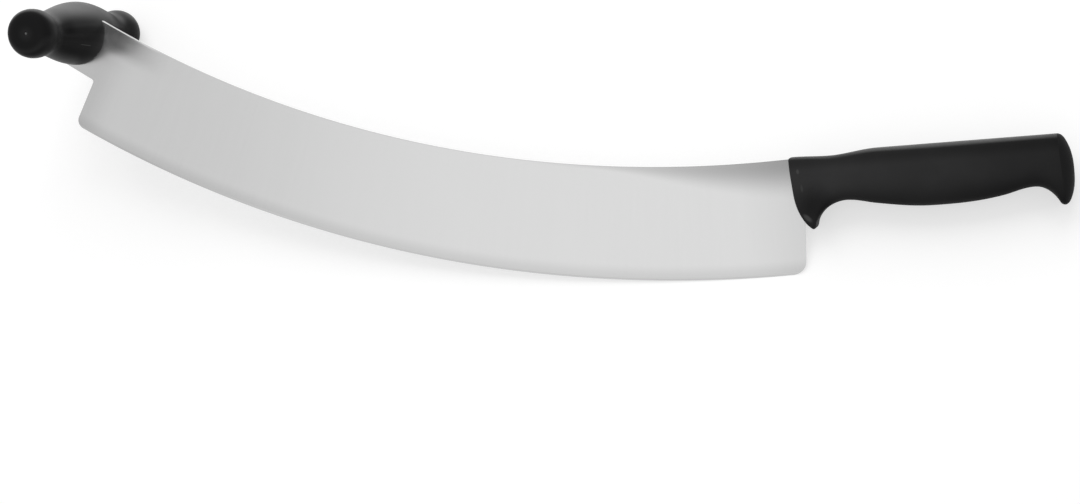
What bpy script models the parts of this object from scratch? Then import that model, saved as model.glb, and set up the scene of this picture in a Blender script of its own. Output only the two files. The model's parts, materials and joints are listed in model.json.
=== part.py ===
"""A double-handled cheese knife: a curved steel blade with a grip at its heel and a cross grip at its front.

The knife is drawn in its own frame, with the main handle's top along +X, the cutting edge towards -Y and the
cross handle along Z. It is then laid down as it rests on a table, on one end of the cross handle, its cutting
edge and the main handle, with its length along +X. Lengths are in metres and angles in degrees.
"""
import math

import bmesh
import bpy
from mathutils import Matrix, Vector
from mathutils.geometry import interpolate_bezier

# Blade
BLADE_LENGTH = 0.3890  # along the spine, from the main handle to the front end
BLADE_WIDTH = 0.060
BLADE_THICKNESS = 0.0024
SPINE_RADIUS = 0.63934
SPINE_SLOPE = 2.02  # slope of the spine where it enters the main handle
SPINE_INSET = 0.0023  # spine below the top of the main handle's front
EDGE_BEVEL_WIDTH = 0.0012
BEVEL_THICKNESS = 0.0009  # of the steel where the edge bevel starts
EDGE_THICKNESS = 0.00016
SPINE_LAND = 0.003  # width left unground along the spine
BROKEN_EDGE = 0.0002
FRONT_LEAN = 1.3
FRONT_CORNER_RADIUS = 0.005
HEEL_SETBACK = 0.0047  # heel corner behind the main handle's front
HEEL_LEAN = 2.7
HEEL_CORNER_RADIUS = 0.0072

# Neck and tongue, which carry the cross handle
NECK_WIDTH = 0.0323
NECK_LENGTH = 0.0209  # along the spine, from the front end to the cross handle's axis
NECK_CORNER_RADIUS = 0.0016
TONGUE_PAST_AXIS = 0.0105
TONGUE_UPPER_RADIUS = 0.008
TONGUE_LOWER_RADIUS = 0.0100
TONGUE_HOLE_DIAMETER = 0.010

# Tang, which carries the main handle
TANG_WIDTH = 0.015
TANG_DEPTH = 0.0146  # its middle line below the main handle's top line
TANG_SHOULDER = 0.005
TANG_TO_BUTT = 0.040
TANG_TIP_RADIUS = 0.005
TANG_ROOT_RADIUS = 0.003
TANG_HOLE_DIAMETER = 0.008
TANG_HOLE_START = 0.036
TANG_HOLE_PITCH = 0.038
GRIND_PAST_FRONT = 0.008  # how far the ground faces run into the main handle

# Main handle
GRIP_LENGTH = 0.1419
BACK_HEIGHT = 0.0003  # of the straight back
GUARD_DEPTH = 0.0389
GUARD_SETBACK = 0.0103
THROAT_SETBACK = 0.0285
THROAT_DEPTH = 0.0254
THUMB_REST_SETBACK = 0.020
THUMB_REST_DIP = 0.0020
BELLY_SETBACK = 0.073
BELLY_DEPTH = 0.0312
WAIST_TO_BUTT = 0.0195
WAIST_DEPTH = 0.0255
HOOK_TO_BUTT = 0.0051
HOOK_DEPTH = 0.0354
CORNER_TO_BUTT = 0.0073  # from the end of the straight back, where the domed end starts
DOME_BULGE = 0.57  # of the domed end's depth, over its half width
HOLLOW_SETBACK = 0.0135  # middle of the finger hollow behind the guard
HOLLOW_DEPTH = 0.0270
HOLLOW_FRONT_REACH = 0.0036
HOLLOW_REAR_REACH = 0.0075
HOLLOW_HEIGHT = 0.0095
HOLLOW_SHARE = 0.13  # of the thickness there
FRONT_THICKNESS = 0.019
THROAT_THICKNESS = 0.0205
BELLY_THICKNESS = 0.0245
WAIST_THICKNESS = 0.0225
BUTT_THICKNESS = 0.024

# Cross handle
CROSS_LENGTH = 0.115
CROSS_AXIS_DEPTH = 0.0140  # below the spine
BARREL_DIAMETER = 0.0356
WAIST_DIAMETER = 0.0237
WAIST_TO_END = 0.0195
KNOB_DIAMETER = 0.0268
KNOB_CROWN_TO_END = 0.0075
END_FACE_DIAMETER = 0.0170
GATE_DIAMETER = 0.0030
GATE_DEPTH = 0.0004

CLEARANCE = 0.0003  # between the steel and the plastic moulded round it

# Fineness of the meshes
ARC_STEP = 0.008
CORNER_STEPS = 8
TURN_STEPS = 44
ROUND_STEPS = 9
DOME_STEPS = 5

STEEL_DENSITY = 7750.0
PLASTIC_DENSITY = 910.0

ARC_CENTRE = Vector((
    -SPINE_RADIUS * math.sin(math.radians(SPINE_SLOPE)),
    SPINE_RADIUS * math.cos(math.radians(SPINE_SLOPE)) - SPINE_INSET,
    0.0,
))


def arc_angle(travel):
    """Angle about the arc centre, from straight down, of a travel along the spine towards the front."""
    return math.radians(SPINE_SLOPE) - travel / SPINE_RADIUS


def on_blade(travel, depth):
    """Point at a travel along the spine from the main handle and a depth below the spine."""
    angle = arc_angle(travel)
    radius = SPINE_RADIUS + depth
    return ARC_CENTRE + radius * Vector((math.sin(angle), -math.cos(angle), 0.0))


def along_blade(start, end, depth):
    """Points between two travels at one depth, with both ends left out."""
    count = max(2, round(abs(end - start) / ARC_STEP))
    return [on_blade(start + (end - start) * i / count, depth) for i in range(1, count)]


def round_corner(before, corner, after, radius):
    """Points of a round corner between two straight neighbours."""
    to_before = (before - corner).normalized()
    to_after = (after - corner).normalized()
    half = to_before.angle(to_after) / 2
    centre = corner + (to_before + to_after).normalized() * radius / math.sin(half)
    first = corner + to_before * radius / math.tan(half) - centre
    last = corner + to_after * radius / math.tan(half) - centre
    turn = first.angle(last)
    points = []
    for i in range(CORNER_STEPS + 1):
        part = turn * i / CORNER_STEPS
        points.append(centre + (first * math.sin(turn - part) + last * math.sin(part)) / math.sin(turn))
    return points


def rounded_outline(corners):
    """Closed outline through (point, radius) corners, where a radius of 0 leaves the point as it is."""
    points = []
    for i, (corner, radius) in enumerate(corners):
        if radius:
            points += round_corner(corners[i - 1][0], corner, corners[(i + 1) % len(corners)][0], radius)
        else:
            points.append(corner)
    return points


def circle_outline(centre, diameter):
    steps = 3 * CORNER_STEPS
    turns = [2 * math.pi * i / steps for i in range(steps)]
    return [centre + diameter / 2 * Vector((math.cos(turn), math.sin(turn), 0.0)) for turn in turns]


def blade_corners():
    """Corners of the whole plate: spine, tongue, neck, front end, cutting edge, heel and tang."""
    tongue_end = BLADE_LENGTH + NECK_LENGTH + TONGUE_PAST_AXIS
    tang_top = -TANG_DEPTH + TANG_WIDTH / 2
    tang_bottom = -TANG_DEPTH - TANG_WIDTH / 2
    tang_end = GRIP_LENGTH - TANG_TO_BUTT
    edge_radius = SPINE_RADIUS + BLADE_WIDTH
    front_low = BLADE_LENGTH - (BLADE_WIDTH - NECK_WIDTH) * math.tan(math.radians(FRONT_LEAN))
    heel_y = ARC_CENTRE.y - math.sqrt(edge_radius ** 2 - (HEEL_SETBACK - ARC_CENTRE.x) ** 2)
    heel_travel = SPINE_RADIUS * (
        math.radians(SPINE_SLOPE) - math.asin((HEEL_SETBACK - ARC_CENTRE.x) / edge_radius)
    )
    heel_top_x = HEEL_SETBACK + (tang_bottom - heel_y) * math.tan(math.radians(HEEL_LEAN))

    corners = [(on_blade(0, 0), 0)]
    corners += [(point, 0) for point in along_blade(0, tongue_end - TONGUE_UPPER_RADIUS, 0)]
    corners.append((on_blade(tongue_end, 0), TONGUE_UPPER_RADIUS))
    corners.append((on_blade(tongue_end, NECK_WIDTH), TONGUE_LOWER_RADIUS))
    corners.append((on_blade(BLADE_LENGTH, NECK_WIDTH), NECK_CORNER_RADIUS))
    corners.append((on_blade(front_low, BLADE_WIDTH), FRONT_CORNER_RADIUS))
    edge_start = front_low - FRONT_CORNER_RADIUS
    edge_end = heel_travel + HEEL_CORNER_RADIUS
    corners += [(point, 0) for point in along_blade(edge_start, edge_end, BLADE_WIDTH)]
    corners.append((Vector((HEEL_SETBACK, heel_y, 0)), HEEL_CORNER_RADIUS))
    corners.append((Vector((heel_top_x, tang_bottom, 0)), TANG_ROOT_RADIUS))
    corners.append((Vector((tang_end, tang_bottom, 0)), TANG_TIP_RADIUS))
    corners.append((Vector((tang_end, tang_top, 0)), TANG_TIP_RADIUS))
    corners.append((Vector((TANG_SHOULDER, tang_top, 0)), TANG_ROOT_RADIUS))
    return corners


def cross_axis():
    return on_blade(BLADE_LENGTH + NECK_LENGTH, CROSS_AXIS_DEPTH)


def lock_holes():
    """Outlines of the holes that the plastic of both handles runs through."""
    holes = [circle_outline(cross_axis(), TONGUE_HOLE_DIAMETER)]
    for i in range(2):
        centre = Vector((TANG_HOLE_START + i * TANG_HOLE_PITCH, -TANG_DEPTH, 0))
        holes.append(circle_outline(centre, TANG_HOLE_DIAMETER))
    return holes


def plate(name, collection, grow, chamfer):
    """The blade's plate as a mesh, grown on all sides, with its edges broken by a chamfer."""
    curve = bpy.data.curves.new(name, "CURVE")
    curve.dimensions = "2D"
    curve.fill_mode = "BOTH"
    curve.extrude = BLADE_THICKNESS / 2 + grow - chamfer
    curve.offset = grow - chamfer
    curve.bevel_depth = chamfer
    curve.bevel_resolution = 0
    for outline in [rounded_outline(blade_corners())] + lock_holes():
        spline = curve.splines.new("POLY")
        spline.points.add(len(outline) - 1)
        for point, place in zip(spline.points, outline):
            point.co = (place.x, place.y, 0.0, 1.0)
        spline.use_cyclic_u = True
    flat = bpy.data.objects.new(name + "_curve", curve)
    collection.objects.link(flat)
    mesh = bpy.data.meshes.new_from_object(flat.evaluated_get(bpy.context.evaluated_depsgraph_get()))
    bpy.data.objects.remove(flat)
    weld(mesh)
    return add_object(name, mesh, collection)


def grinding_rings(name, collection, grow):
    """Two turned rings that leave the blade its tapered faces and its edge bevel."""
    top = BLADE_THICKNESS / 2 + grow
    shoulder = BEVEL_THICKNESS / 2 + grow
    edge = EDGE_THICKNESS / 2 + grow
    bevel_start = BLADE_WIDTH - EDGE_BEVEL_WIDTH
    taper = (top - shoulder) / (bevel_start - SPINE_LAND)
    bevel = (shoulder - edge) / EDGE_BEVEL_WIDTH
    run_in = 0.002
    run_out = 0.0002
    clear = 0.003
    profile = [
        (SPINE_LAND - run_in, top + taper * run_in),
        (bevel_start, shoulder),
        (BLADE_WIDTH + run_out, edge - bevel * run_out),
        (BLADE_WIDTH + clear, edge - bevel * run_out),
        (BLADE_WIDTH + clear, top + clear),
        (SPINE_LAND - run_in, top + clear),
    ]
    start = -GRIND_PAST_FRONT + grow
    end = BLADE_LENGTH + NECK_LENGTH - grow
    rings = bmesh.new()
    for side in (1, -1):
        corners = []
        for depth, height in profile:
            place = on_blade(start, depth)
            corners.append(rings.verts.new((place.x, place.y, side * height)))
        face = rings.faces.new(corners)
        bmesh.ops.spin(
            rings,
            geom=[face] + face.edges[:] + corners,
            cent=ARC_CENTRE,
            axis=(0, 0, 1),
            angle=arc_angle(end) - arc_angle(start),
            steps=round((end - start) / ARC_STEP),
        )
    bmesh.ops.recalc_face_normals(rings, faces=rings.faces)
    mesh = bpy.data.meshes.new(name)
    rings.to_mesh(mesh)
    rings.free()
    return add_object(name, mesh, collection)


def heading(degrees):
    return Vector((math.cos(math.radians(degrees)), math.sin(math.radians(degrees)), 0.0))


def smooth_line(knots, counts):
    """Points of a smooth line through (x, y, heading) knots, with a count of steps for each stretch."""
    reach_share = 0.36
    points = [Vector((knots[0][0], knots[0][1], 0.0))]
    for (x0, y0, leave), (x1, y1, arrive), count in zip(knots, knots[1:], counts):
        start = Vector((x0, y0, 0.0))
        end = Vector((x1, y1, 0.0))
        reach = reach_share * (end - start).length
        out = start + reach * heading(leave)
        back = end - reach * heading(arrive)
        points += interpolate_bezier(start, out, back, end, count + 1)[1:]
    return points


def eased(values, counts):
    """Numbers that pass smoothly from each value to the next, with a count of steps for each stretch."""
    numbers = [values[0]]
    for start, end, count in zip(values, values[1:], counts):
        for i in range(1, count + 1):
            share = i / count
            numbers.append(start + (end - start) * share * share * (3 - 2 * share))
    return numbers


def grip_lines():
    """The grip's outline as an upper and a lower line from front to butt, and the middle line between them."""
    front = (0.0016, -0.019)
    butt = (GRIP_LENGTH, -0.0195)
    upper = smooth_line([
        (*front, 95),
        (0.0005, -0.0022, 90),
        (0.0014, -0.0014, 0),
        (THUMB_REST_SETBACK, -THUMB_REST_DIP, 0),
        (THUMB_REST_SETBACK + 0.026, BACK_HEIGHT, 0),
        (GRIP_LENGTH - CORNER_TO_BUTT, BACK_HEIGHT, 0),
        (GRIP_LENGTH - 0.0035, -0.0026, -62),
        (*butt, -90),
    ], (4, 4, 8, 5, 17, 4, 7))
    lower = smooth_line([
        (*front, -85),
        (GUARD_SETBACK - 0.0050, -GUARD_DEPTH + 0.0061, -62),
        (GUARD_SETBACK, -GUARD_DEPTH, -38),
        (GUARD_SETBACK + 0.0021, -GUARD_DEPTH + 0.0015, 80),
        (THROAT_SETBACK, -THROAT_DEPTH, 0),
        (THROAT_SETBACK + 0.015, -THROAT_DEPTH - 0.0026, -9.5),
        (BELLY_SETBACK, -BELLY_DEPTH, 0),
        (GRIP_LENGTH - WAIST_TO_BUTT - 0.0160, -WAIST_DEPTH - 0.0032, 10.5),
        (GRIP_LENGTH - WAIST_TO_BUTT, -WAIST_DEPTH, 0),
        (GRIP_LENGTH - HOOK_TO_BUTT - 0.0026, -HOOK_DEPTH + 0.0014, -62),
        (GRIP_LENGTH - HOOK_TO_BUTT, -HOOK_DEPTH, 10),
        (GRIP_LENGTH - HOOK_TO_BUTT + 0.0026, -HOOK_DEPTH + 0.0024, 65),
        (*butt, 90),
    ], (4, 3, 4, 7, 3, 5, 6, 4, 5, 2, 2, 4))
    middle = smooth_line([
        (0.008, -0.0165, 10),
        (0.013, -0.0150, 20),
        (THROAT_SETBACK, -THROAT_DEPTH / 2 - 0.001, 0),
        (BELLY_SETBACK, -BELLY_DEPTH / 2, 0),
        (GRIP_LENGTH - WAIST_TO_BUTT, -WAIST_DEPTH / 2, 0),
        (GRIP_LENGTH - 0.0115, -0.0150, -22),
        (GRIP_LENGTH - 0.0030, -0.0190, -10),
    ], MIDDLE_STEPS)
    return upper, lower, middle


MIDDLE_STEPS = (11, 7, 8, 10, 5, 8)


def hollowed(x, y):
    """Share of the thickness that is left at a place near the finger hollow."""
    reach = HOLLOW_FRONT_REACH if x < HOLLOW_SETBACK else HOLLOW_REAR_REACH
    along = (x - HOLLOW_SETBACK) / reach
    across = (y + HOLLOW_DEPTH) / HOLLOW_HEIGHT
    return 1 - HOLLOW_SHARE * math.exp(-along * along - across * across)


def dome_end(grip, outline):
    """Cut a half grip off where its straight back ends, and close it with a dome that meets its outline."""
    high = Vector((GRIP_LENGTH - CORNER_TO_BUTT, BACK_HEIGHT, 0))
    low = Vector((GRIP_LENGTH - HOOK_TO_BUTT, -HOOK_DEPTH, 0))
    down = (low - high).normalized()
    out = Vector((-down.y, down.x, 0))
    bulge = sorted(((point - high).dot(down), (point - high).dot(out)) for point in outline)
    bulge = [(0.0, 0.0)] + [pair for pair in bulge if pair[1] > 0] + [((low - high).length, 0.0)]

    def reach_at(run):
        for (run_0, reach_0), (run_1, reach_1) in zip(bulge, bulge[1:]):
            if run_0 <= run <= run_1 and run_1 > run_0:
                return reach_0 + (reach_1 - reach_0) * (run - run_0) / (run_1 - run_0)
        return 0.0

    everything = grip.verts[:] + grip.edges[:] + grip.faces[:]
    cut_off = bmesh.ops.bisect_plane(grip, geom=everything, plane_co=high, plane_no=out, clear_outer=True)
    rim = [item for item in cut_off["geom_cut"] if isinstance(item, bmesh.types.BMVert)]
    sides = [item for item in cut_off["geom_cut"] if isinstance(item, bmesh.types.BMEdge)]
    crown = math.asin(2 * DOME_BULGE / (1 + DOME_BULGE ** 2))
    rings = [{vert: vert for vert in rim}]
    for k in range(1, DOME_STEPS + 1):
        turn = crown * (1 - k / DOME_STEPS)
        share = 1 - (1 - math.cos(turn)) / (1 - math.cos(crown))
        height = math.sin(turn) / math.sin(crown)
        ring = {}
        for vert in rim:
            reach = reach_at((vert.co - high).dot(down))
            ring[vert] = grip.verts.new((*(vert.co + share * reach * out).xy, height * vert.co.z))
        rings.append(ring)
    for inner, outer in zip(rings, rings[1:]):
        for side in sides:
            start, end = side.verts
            face = grip.faces.new((inner[start], inner[end], outer[end], outer[start]))
            face.normal_update()
            if face.normal.dot(out + Vector((0, 0, 1))) < 0:
                face.normal_flip()
    bmesh.ops.remove_doubles(grip, verts=grip.verts, dist=0.000005)


def grip_half(name, collection):
    """The half of the main handle on the +Z side, lofted from its outline up to its middle line."""
    upper, lower, middle = grip_lines()
    thicknesses = (
        FRONT_THICKNESS,
        FRONT_THICKNESS,
        THROAT_THICKNESS,
        BELLY_THICKNESS,
        WAIST_THICKNESS,
        BUTT_THICKNESS,
        BUTT_THICKNESS,
    )
    half_thickness = [thickness / 2 for thickness in eased(thicknesses, MIDDLE_STEPS)]
    upper_squareness = eased((6.0, 5.0, 3.4, 3.2, 3.2, 3.5, 3.6), MIDDLE_STEPS)
    lower_squareness = eased((6.0, 6.0, 2.7, 2.5, 2.6, 3.2, 3.6), MIDDLE_STEPS)
    last = len(middle) - 1

    def surface(line, squareness, i, turn):
        power = 2 / squareness[i]
        share = 1 - math.cos(turn) ** power
        place = line[i].lerp(middle[i], share)
        height = half_thickness[i] * hollowed(place.x, place.y)
        return place.x, place.y, height * math.sin(turn) ** power

    grip = bmesh.new()
    rings = []
    for j in range(ROUND_STEPS):
        turn = math.pi / 2 * j / ROUND_STEPS
        ring = [grip.verts.new(surface(upper, upper_squareness, i, turn)) for i in range(last + 1)]
        ring += [grip.verts.new(surface(lower, lower_squareness, i, turn)) for i in range(last - 1, 0, -1)]
        rings.append(ring)
    ridge = [
        grip.verts.new((place.x, place.y, half_thickness[i] * hollowed(place.x, place.y)))
        for i, place in enumerate(middle)
    ]
    rings.append(ridge + ridge[last - 1:0:-1])
    for inner, outer in zip(rings[1:], rings):
        for i in range(2 * last):
            n = (i + 1) % (2 * last)
            grip.faces.new((outer[n], outer[i], inner[i], inner[n]))
    dome_end(grip, upper + lower)
    mesh = bpy.data.meshes.new(name)
    grip.to_mesh(mesh)
    grip.free()
    return add_object(name, mesh, collection)


def cross_profile():
    """Outer line of the cross handle from its top end to its bottom end, as (radius, height) points."""
    half = CROSS_LENGTH / 2
    barrel = BARREL_DIAMETER / 2
    waist = WAIST_DIAMETER / 2
    knob = KNOB_DIAMETER / 2
    face = END_FACE_DIAMETER / 2
    waist_z = half - WAIST_TO_END
    crown_z = half - KNOB_CROWN_TO_END
    upper = [(0, half - GATE_DEPTH), (GATE_DIAMETER / 2 - GATE_DEPTH, half - GATE_DEPTH), (GATE_DIAMETER / 2, half)]
    rim_steps = 8
    for i in range(rim_steps + 1):
        turn = math.pi / 2 * (1 - i / rim_steps)
        upper.append((face + (knob - face) * math.cos(turn), crown_z + KNOB_CROWN_TO_END * math.sin(turn)))
    to_waist = interpolate_bezier(
        Vector((knob, crown_z, 0)),
        Vector((knob, crown_z - 0.0055, 0)),
        Vector((waist, waist_z + 0.005, 0)),
        Vector((waist, waist_z, 0)),
        7,
    )
    to_barrel = interpolate_bezier(
        Vector((waist, waist_z, 0)),
        Vector((waist, waist_z * 0.79, 0)),
        Vector((barrel, waist_z * 0.4, 0)),
        Vector((barrel, 0, 0)),
        11,
    )
    upper += [(point.x, point.y) for point in to_waist[1:] + to_barrel[1:]]
    return upper + [(radius, -height) for radius, height in reversed(upper[:-1])]


def turned(name, profile, collection):
    """A solid turned about its own Z axis from a profile that runs from top to bottom."""
    mesh = bpy.data.meshes.new(name)
    edges = [(i, i + 1) for i in range(len(profile) - 1)]
    mesh.from_pydata([(radius, 0, height) for radius, height in profile], edges, [])
    solid = add_object(name, mesh, collection)
    screw = solid.modifiers.new("turn", "SCREW")
    screw.axis = "Z"
    screw.steps = TURN_STEPS
    screw.render_steps = TURN_STEPS
    screw.use_merge_vertices = True
    screw.merge_threshold = 0.00001
    screw.use_smooth_shade = True
    return solid


def weld(mesh):
    """Join the loose caps of a mesh that was made from a curve to its walls."""
    welded = bmesh.new()
    welded.from_mesh(mesh)
    bmesh.ops.remove_doubles(welded, verts=welded.verts, dist=0.000001)
    welded.to_mesh(mesh)
    welded.free()


def add_object(name, mesh, collection):
    thing = bpy.data.objects.new(name, mesh)
    collection.objects.link(thing)
    return thing


def cut(thing, cutter):
    boolean = thing.modifiers.new("cut by " + cutter.name, "BOOLEAN")
    boolean.operation = "DIFFERENCE"
    boolean.solver = "EXACT"
    boolean.object = cutter


def hide_cutter(cutter):
    cutter.hide_render = True
    cutter.display_type = "WIRE"


def give_material(thing, name, colour, roughness, metallic):
    material = bpy.data.materials.new(name)
    material.use_nodes = True
    shader = material.node_tree.nodes["Principled BSDF"]
    shader.inputs["Base Color"].default_value = (*colour, 1.0)
    shader.inputs["Roughness"].default_value = roughness
    shader.inputs["Metallic"].default_value = metallic
    thing.data.materials.append(material)


def make_blade(parts, cutters):
    blade = plate("blade", parts, 0.0, BROKEN_EDGE)
    rings = grinding_rings("grinding_rings", cutters, 0.0)
    cut(blade, rings)
    give_material(blade, "satin_stainless_steel", (0.62, 0.62, 0.61), 0.34, 1.0)
    return blade, rings


def make_slot(cutters):
    """The plate grown by the clearance, which cuts the room for tang and tongue but leaves the plugs."""
    slot = plate("slot", cutters, CLEARANCE, 0.0)
    rings = grinding_rings("slot_rings", cutters, CLEARANCE)
    cut(slot, rings)
    return slot, rings


def make_main_handle(parts, slot):
    grip = grip_half("main_handle", parts)
    mirror = grip.modifiers.new("other side", "MIRROR")
    mirror.use_axis = (False, False, True)
    mirror.merge_threshold = 0.00001
    cut(grip, slot)
    smooth_shading(grip)
    give_material(grip, "black_plastic_main", (0.022, 0.022, 0.023), 0.42, 0.0)
    return grip


def make_cross_handle(parts, slot):
    cross = turned("cross_handle", cross_profile(), parts)
    cross.location = cross_axis()
    cut(cross, slot)
    smooth_shading(cross)
    give_material(cross, "black_plastic_cross", (0.020, 0.020, 0.021), 0.38, 0.0)
    return cross


def smooth_shading(thing):
    thing.data.shade_smooth()
    thing.data.set_sharp_from_angle(angle=math.radians(35))


def world_mesh(thing):
    """The finished mesh of an object in world space, as a bmesh."""
    graph = bpy.context.evaluated_depsgraph_get()
    finished = thing.evaluated_get(graph)
    solid = bmesh.new()
    solid.from_mesh(finished.to_mesh())
    finished.to_mesh_clear()
    solid.transform(thing.matrix_world)
    return solid


def weighed(solid):
    """Volume of a closed mesh, and its centre times that volume."""
    volume = 0.0
    moment = Vector((0.0, 0.0, 0.0))
    for corners in solid.calc_loop_triangles():
        a, b, c = (loop.vert.co for loop in corners)
        part = a.dot(b.cross(c)) / 6
        volume += part
        moment += part * (a + b + c) / 4
    return volume, moment


def lay_on_table(knife, pieces):
    """Turn the knife onto the three points that it rests on with its front face up, and set it on Z = 0."""
    bpy.context.view_layer.update()
    mass = 0.0
    moment = Vector((0.0, 0.0, 0.0))
    hull = bmesh.new()
    for piece, density in pieces:
        solid = world_mesh(piece)
        volume, lever = weighed(solid)
        mass += density * volume
        moment += density * lever
        for vert in solid.verts:
            hull.verts.new(vert.co)
        solid.free()
    centre = moment / mass
    bmesh.ops.convex_hull(hull, input=hull.verts)
    hull.normal_update()

    down = None
    for face in hull.faces:
        foot = centre + face.normal * (face.verts[0].co - centre).dot(face.normal)
        if face.normal.z < 0 and bmesh.geometry.intersect_face_point(face, foot):
            if down is None or face.normal.z < down.z:
                down = face.normal.copy()
    tip = down.rotation_difference(Vector((0, 0, -1))).to_matrix().to_4x4()
    length = tip @ Vector((GRIP_LENGTH, 0, 0)) - tip @ cross_axis()
    level = Matrix.Rotation(-math.atan2(length.y, length.x), 4, "Z") @ tip

    places = [level @ vert.co for vert in hull.verts]
    hull.free()
    low = Vector([min(place[i] for place in places) for i in range(3)])
    high = Vector([max(place[i] for place in places) for i in range(3)])
    middle = Vector(((low.x + high.x) / 2, (low.y + high.y) / 2, low.z))
    knife.matrix_world = Matrix.Translation(-middle) @ level


def clear_scene():
    for thing in list(bpy.data.objects):
        bpy.data.objects.remove(thing)


def main():
    clear_scene()
    parts = bpy.data.collections.new("double_handled_cheese_knife")
    cutters = bpy.data.collections.new("cutters")
    bpy.context.scene.collection.children.link(parts)
    bpy.context.scene.collection.children.link(cutters)

    knife = bpy.data.objects.new("knife", None)
    parts.objects.link(knife)
    blade, blade_rings = make_blade(parts, cutters)
    slot, slot_rings = make_slot(cutters)
    main_handle = make_main_handle(parts, slot)
    cross_handle = make_cross_handle(parts, slot)
    for cutter in (blade_rings, slot, slot_rings):
        hide_cutter(cutter)
    for thing in (blade, main_handle, cross_handle, blade_rings, slot, slot_rings):
        thing.parent = knife
    lay_on_table(knife, (
        (blade, STEEL_DENSITY),
        (main_handle, PLASTIC_DENSITY),
        (cross_handle, PLASTIC_DENSITY),
    ))


main()
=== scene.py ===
"""Studio scene of a double-handled cheese knife: fine handles, worked materials, a pale floor and soft light.

The knife has its own frame: X along the main handle's back, Y from the cutting edge to the spine, Z along the
cross handle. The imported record's two mounts say where that frame lies. Lengths are in metres, angles in degrees.
"""

import json
import math

import bmesh
import bpy
from mathutils import Matrix, Vector
from mathutils.geometry import interpolate_bezier

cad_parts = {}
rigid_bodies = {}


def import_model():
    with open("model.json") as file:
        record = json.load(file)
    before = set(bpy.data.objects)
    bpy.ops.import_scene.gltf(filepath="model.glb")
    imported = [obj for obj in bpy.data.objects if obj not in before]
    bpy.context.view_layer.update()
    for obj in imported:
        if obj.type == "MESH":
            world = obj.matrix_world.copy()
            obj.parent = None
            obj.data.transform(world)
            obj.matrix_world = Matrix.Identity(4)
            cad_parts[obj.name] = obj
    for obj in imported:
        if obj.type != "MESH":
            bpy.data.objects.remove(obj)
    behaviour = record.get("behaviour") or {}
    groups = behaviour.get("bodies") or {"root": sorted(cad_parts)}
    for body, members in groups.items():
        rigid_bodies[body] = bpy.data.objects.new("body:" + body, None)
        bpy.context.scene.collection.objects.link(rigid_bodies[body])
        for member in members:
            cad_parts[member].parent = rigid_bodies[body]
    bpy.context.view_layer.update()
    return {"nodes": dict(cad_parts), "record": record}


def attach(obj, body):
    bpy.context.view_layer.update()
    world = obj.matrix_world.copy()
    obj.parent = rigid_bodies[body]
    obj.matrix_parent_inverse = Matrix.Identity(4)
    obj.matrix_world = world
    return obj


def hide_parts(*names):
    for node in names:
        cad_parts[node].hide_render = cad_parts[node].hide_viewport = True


# The blade's arc, as in the part
SPINE_RADIUS = 0.63934
SPINE_SLOPE = 2.02
SPINE_INSET = 0.0023
BLADE_LENGTH = 0.3890
BLADE_WIDTH = 0.060
EDGE_BEVEL_WIDTH = 0.0012
NECK_LENGTH = 0.0209
CROSS_AXIS_DEPTH = 0.0140

# Where the mounts are in the knife's frame
SIDE_MOUNT_DEPTH = 0.030
END_MOUNT_RADIUS = 0.0055

# Main handle: setbacks from its front, distances to its butt, depths below its back
GRIP_LENGTH = 0.1419
BACK_HEIGHT = 0.0003
FRONT_SETBACK = 0.0016
FRONT_DEPTH = 0.019
GUARD_DEPTH = 0.0389
GUARD_SETBACK = 0.0103
THROAT_SETBACK = 0.0285
THROAT_DEPTH = 0.0254
THUMB_REST_SETBACK = 0.020
THUMB_REST_DIP = 0.0020
BELLY_SETBACK = 0.073
BELLY_DEPTH = 0.0312
WAIST_TO_BUTT = 0.0195
WAIST_DEPTH = 0.0255
HOOK_TO_BUTT = 0.0051
HOOK_DEPTH = 0.0354
CORNER_TO_BUTT = 0.0073
BUTT_DEPTH = 0.0195
DOME_BULGE = 0.57
HOLLOW_SETBACK = 0.0135
HOLLOW_DEPTH = 0.0270
HOLLOW_FRONT_REACH = 0.0036
HOLLOW_REAR_REACH = 0.0075
HOLLOW_HEIGHT = 0.0095
HOLLOW_SHARE = 0.13
FRONT_THICKNESS = 0.019
THROAT_THICKNESS = 0.0205
BELLY_THICKNESS = 0.0245
GRIP_WAIST_THICKNESS = 0.0225
BUTT_THICKNESS = 0.024

# Main handle's mesh: steps between the knots of its three lines, and squareness at the middle line's knots
GRIP_FINENESS = 3
GRIP_ROWS = 22
DOME_STEPS = 14
CURVE_REACH = 0.36  # how far a stretch of line keeps to its heading, in shares of the stretch
UPPER_STEPS = (4, 4, 8, 5, 17, 4, 7)
LOWER_STEPS = (4, 3, 4, 7, 3, 5, 6, 4, 5, 2, 2, 4)
MIDDLE_STEPS = (11, 7, 8, 10, 5, 8)
UPPER_SQUARENESS = (6.0, 5.0, 3.4, 3.2, 3.2, 3.5, 3.6)
LOWER_SQUARENESS = (6.0, 6.0, 2.7, 2.5, 2.6, 3.2, 3.6)

# Cross handle
CROSS_LENGTH = 0.115
BARREL_DIAMETER = 0.0356
WAIST_DIAMETER = 0.0237
WAIST_TO_END = 0.0195
KNOB_DIAMETER = 0.0268
KNOB_CROWN_TO_END = 0.0075
KNOB_ROUNDING = 6.0
KNOB_REACH = 0.0055  # how far its outline keeps straight from the knob's crown towards the waist
WAIST_REACH = 0.005  # the same from the waist towards the knob
WAIST_HOLD = 0.79  # and towards the barrel, to this share of the waist's height
BARREL_HOLD = 0.4
GATE_DIAMETER = 0.0030
GATE_DEPTH = 0.0004
GATE_FOOT_INSET = 0.0004  # the gate's wall: how far its foot and its rounded rim are from its diameter
GATE_RIM_INSET = 0.0001
GATE_RIM_OUTSET = 0.0002
STUB_RADII = (0.0003, 0.0005)  # of the torn plastic in the gate's middle, at its top and its foot
STUB_DEPTHS = (0.35, 0.4)  # of its top's middle and rim, in shares of the gate's depth
KNOB_STEPS = 40
KNOB_FIRST_STEP = 4  # the first one past the flat end face
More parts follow.
